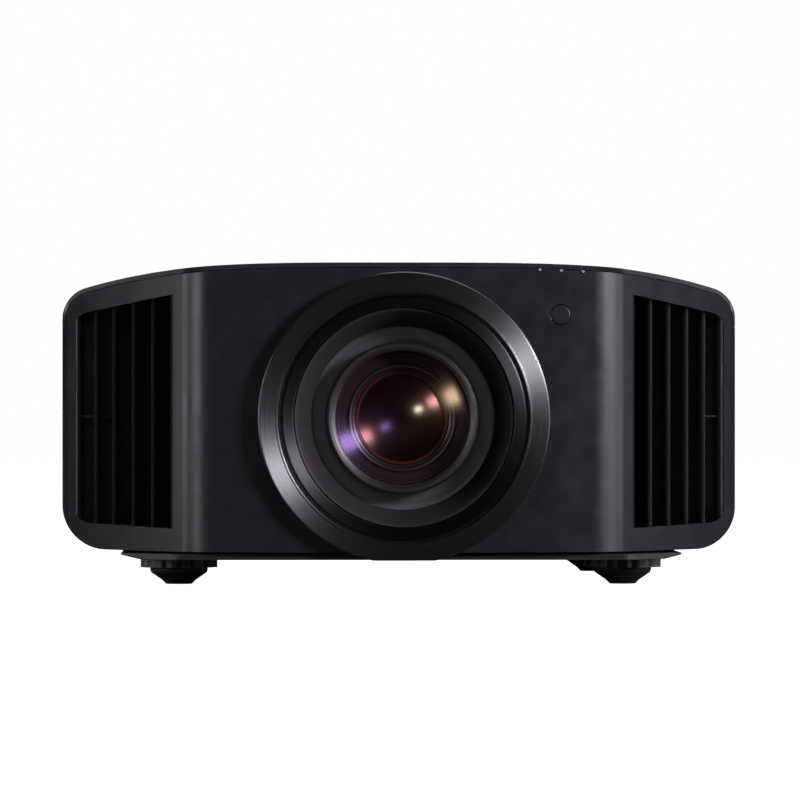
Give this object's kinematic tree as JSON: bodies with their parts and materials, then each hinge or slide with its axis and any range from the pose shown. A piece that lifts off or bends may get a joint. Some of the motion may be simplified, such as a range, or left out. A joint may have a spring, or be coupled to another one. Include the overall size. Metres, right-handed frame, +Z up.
{
  "type": "home projector",
  "caption": "Wide low home projector with a large recessed lens in the middle, swept vents on both wings, a crowned cover and screw feet.",
  "frame": {"origin": "on the floor under the middle of the case", "axes": "+Z up, the lens looks along -Y, +X to the right of someone facing the lens"},
  "size_m": [0.5, 0.518, 0.234],
  "materials": {
    "case": "satin blue-black moulded plastic with a very fine grain",
    "pan": "black painted sheet",
    "grille": "black moulded plastic",
    "trim": "black anodised turned aluminium",
    "dark": "dull black plastic",
    "glass": "coated lens glass",
    "lamp": "pale light guide",
    "rubber": "black foot",
    "alloy": "plain alloy",
    "steel": "ground steel",
    "brass": "machined brass",
    "board": "circuit board",
    "socket": "plated shell",
    "gear": "natural nylon"
  },
  "bodies": {
    "case": {"base_pan": "pan", "front_panel": "case", "top_cover": "case", "rear_panel": "case", "vent_grille_left": "grille", "vent_grille_right": "grille", "lens_bezel": "trim", "bezel_inner_ring": "trim", "lens_recess_cone": "dark", "ir_window": "dark", "led_left": "lamp", "led_middle": "lamp", "led_right": "lamp", "lens_mount_frame": "alloy", "vertical_motor": "alloy", "light_engine": "dark", "light_source": "alloy", "heat_sink": "alloy", "main_board": "board", "power_supply": "alloy", "exhaust_fan_frame_left": "dark", "exhaust_fan_frame_right": "dark", "hdmi_socket_1": "socket", "hdmi_socket_2": "socket", "lan_socket": "socket", "serial_socket": "socket", "mains_inlet": "dark"},
    "vertical_stage": {"vertical_carriage": "alloy", "horizontal_motor": "alloy"},
    "horizontal_stage": {"horizontal_carriage": "alloy", "lens_barrel": "dark", "lens_shroud": "dark", "focus_motor": "alloy", "zoom_motor": "alloy"},
    "focus_group": {"focus_barrel": "dark", "front_glass": "glass"},
    "focus_ring": {"focus_ring": "gear"},
    "focus_pinion": {"focus_pinion": "brass"},
    "zoom_ring": {"zoom_ring": "gear"},
    "zoom_pinion": {"zoom_pinion": "brass"},
    "zoom_group": {"zoom_cell": "dark", "zoom_glass": "glass"},
    "vertical_screw": {"vertical_lead_screw": "steel"},
    "horizontal_screw": {"horizontal_lead_screw": "steel"},
    "fan_left": {"exhaust_fan_rotor_left": "dark"},
    "fan_right": {"exhaust_fan_rotor_right": "dark"},
    "filter": {"filter_cassette": "grille"},
    "foot_stud_front_left": {"foot_stud_front_left": "rubber"},
    "foot_dial_front_left": {"foot_dial_front_left": "rubber"},
    "foot_stud_front_right": {"foot_stud_front_right": "rubber"},
    "foot_dial_front_right": {"foot_dial_front_right": "rubber"},
    "foot_stud_rear_left": {"foot_stud_rear_left": "rubber"},
    "foot_dial_rear_left": {"foot_dial_rear_left": "rubber"},
    "foot_stud_rear_right": {"foot_stud_rear_right": "rubber"},
    "foot_dial_rear_right": {"foot_dial_rear_right": "rubber"},
    "power_button": {"power_button": "grille"},
    "input_button": {"input_button": "grille"},
    "menu_button": {"menu_button": "grille"},
    "back_button": {"back_button": "grille"},
    "ok_button": {"ok_button": "grille"}
  },
  "joints": [
    {"name": "lens_shift_vertical", "type": "slide", "parent": "case", "child": "vertical_stage", "axis": [0, 0, 1], "range_m": [-0.0086, 0.0086]},
    {"name": "lens_shift_horizontal", "type": "slide", "parent": "vertical_stage", "child": "horizontal_stage", "axis": [1, 0, 0], "range_m": [-0.0066, 0.0066]},
    {"name": "vertical_screw_turn", "type": "hinge", "parent": "case", "child": "vertical_screw", "pos_m": [0.088, -0.096, 0.0406], "axis": [0, 0, 1], "range_deg": [-775, 775]},
    {"name": "horizontal_screw_turn", "type": "hinge", "parent": "vertical_stage", "child": "horizontal_screw", "pos_m": [0.02, -0.107, 0.0661], "axis": [1, 0, 0], "range_deg": [-595, 595]},
    {"name": "focus_turn", "type": "hinge", "parent": "horizontal_stage", "child": "focus_ring", "pos_m": [0, -0.167, 0.1216], "axis": [0, -1, 0], "range_deg": [-60, 60]},
    {"name": "focus_travel", "type": "slide", "parent": "horizontal_stage", "child": "focus_group", "axis": [0, -1, 0], "range_m": [-0.0021, 0.0021]},
    {"name": "focus_pinion_turn", "type": "hinge", "parent": "horizontal_stage", "child": "focus_pinion", "pos_m": [0.06755, -0.167, 0.1606], "axis": [0, -1, 0], "range_deg": [-245, 245]},
    {"name": "zoom_turn", "type": "hinge", "parent": "horizontal_stage", "child": "zoom_ring", "pos_m": [0, -0.141, 0.1216], "axis": [0, -1, 0], "range_deg": [-45, 45]},
    {"name": "zoom_travel", "type": "slide", "parent": "horizontal_stage", "child": "zoom_group", "axis": [0, -1, 0], "range_m": [-0.0061, 0.0061]},
    {"name": "zoom_pinion_turn", "type": "hinge", "parent": "horizontal_stage", "child": "zoom_pinion", "pos_m": [-0.06755, -0.141, 0.1606], "axis": [0, -1, 0], "range_deg": [-185, 185]},
    {"name": "fan_spin_left", "type": "hinge", "parent": "case", "child": "fan_left", "pos_m": [-0.19, -0.118, 0.125], "axis": [0, -1, 0], "continuous": true},
    {"name": "fan_spin_right", "type": "hinge", "parent": "case", "child": "fan_right", "pos_m": [0.19, -0.118, 0.125], "axis": [0, -1, 0], "continuous": true},
    {"name": "foot_travel_front_left", "type": "slide", "parent": "case", "child": "foot_stud_front_left", "axis": [0, 0, -1], "range_m": [0, 0.005]},
    {"name": "foot_turn_front_left", "type": "hinge", "parent": "foot_stud_front_left", "child": "foot_dial_front_left", "pos_m": [-0.163, -0.177, 0.0122], "axis": [0, 0, -1], "range_deg": [0, 1445]},
    {"name": "foot_travel_front_right", "type": "slide", "parent": "case", "child": "foot_stud_front_right", "axis": [0, 0, -1], "range_m": [0, 0.005]},
    {"name": "foot_turn_front_right", "type": "hinge", "parent": "foot_stud_front_right", "child": "foot_dial_front_right", "pos_m": [0.163, -0.177, 0.0122], "axis": [0, 0, -1], "range_deg": [0, 1445]},
    {"name": "foot_travel_rear_left", "type": "slide", "parent": "case", "child": "foot_stud_rear_left", "axis": [0, 0, -1], "range_m": [0, 0.005]},
    {"name": "foot_turn_rear_left", "type": "hinge", "parent": "foot_stud_rear_left", "child": "foot_dial_rear_left", "pos_m": [-0.163, 0.175, 0.0122], "axis": [0, 0, -1], "range_deg": [0, 1445]},
    {"name": "foot_travel_rear_right", "type": "slide", "parent": "case", "child": "foot_stud_rear_right", "axis": [0, 0, -1], "range_m": [0, 0.005]},
    {"name": "foot_turn_rear_right", "type": "hinge", "parent": "foot_stud_rear_right", "child": "foot_dial_rear_right", "pos_m": [0.163, 0.175, 0.0122], "axis": [0, 0, -1], "range_deg": [0, 1445]},
    {"name": "power_button_press", "type": "slide", "parent": "case", "child": "power_button", "axis": [0, -1, 0], "range_m": [0, 0.0012], "stiffness_N_per_m": 600, "springref_m": -0.0008},
    {"name": "input_button_press", "type": "slide", "parent": "case", "child": "input_button", "axis": [0, -1, 0], "range_m": [0, 0.0012], "stiffness_N_per_m": 600, "springref_m": -0.0008},
    {"name": "menu_button_press", "type": "slide", "parent": "case", "child": "menu_button", "axis": [0, -1, 0], "range_m": [0, 0.0012], "stiffness_N_per_m": 600, "springref_m": -0.0008},
    {"name": "back_button_press", "type": "slide", "parent": "case", "child": "back_button", "axis": [0, -1, 0], "range_m": [0, 0.0012], "stiffness_N_per_m": 600, "springref_m": -0.0008},
    {"name": "ok_button_press", "type": "slide", "parent": "case", "child": "ok_button", "axis": [0, -1, 0], "range_m": [0, 0.0012], "stiffness_N_per_m": 600, "springref_m": -0.0008},
    {"name": "filter_pull", "type": "slide", "parent": "case", "child": "filter", "axis": [0, 1, 0], "range_m": [0, 0.045]}
  ],
  "couplings": [
    {"joint": "vertical_screw_turn", "follows": "lens_shift_vertical", "rad_per_m": 1570.8},
    {"joint": "horizontal_screw_turn", "follows": "lens_shift_horizontal", "rad_per_m": 1570.8},
    {"joint": "focus_travel", "follows": "focus_turn", "m_per_rad": 0.0019099},
    {"joint": "focus_pinion_turn", "follows": "focus_turn", "ratio": -4},
    {"joint": "zoom_travel", "follows": "zoom_turn", "m_per_rad": 0.0076394},
    {"joint": "zoom_pinion_turn", "follows": "zoom_turn", "ratio": -4},
    {"joint": "foot_turn_front_left", "follows": "foot_travel_front_left", "rad_per_m": 5026.5},
    {"joint": "foot_turn_front_right", "follows": "foot_travel_front_right", "rad_per_m": 5026.5},
    {"joint": "foot_turn_rear_left", "follows": "foot_travel_rear_left", "rad_per_m": 5026.5},
    {"joint": "foot_turn_rear_right", "follows": "foot_travel_rear_right", "rad_per_m": 5026.5}
  ]
}
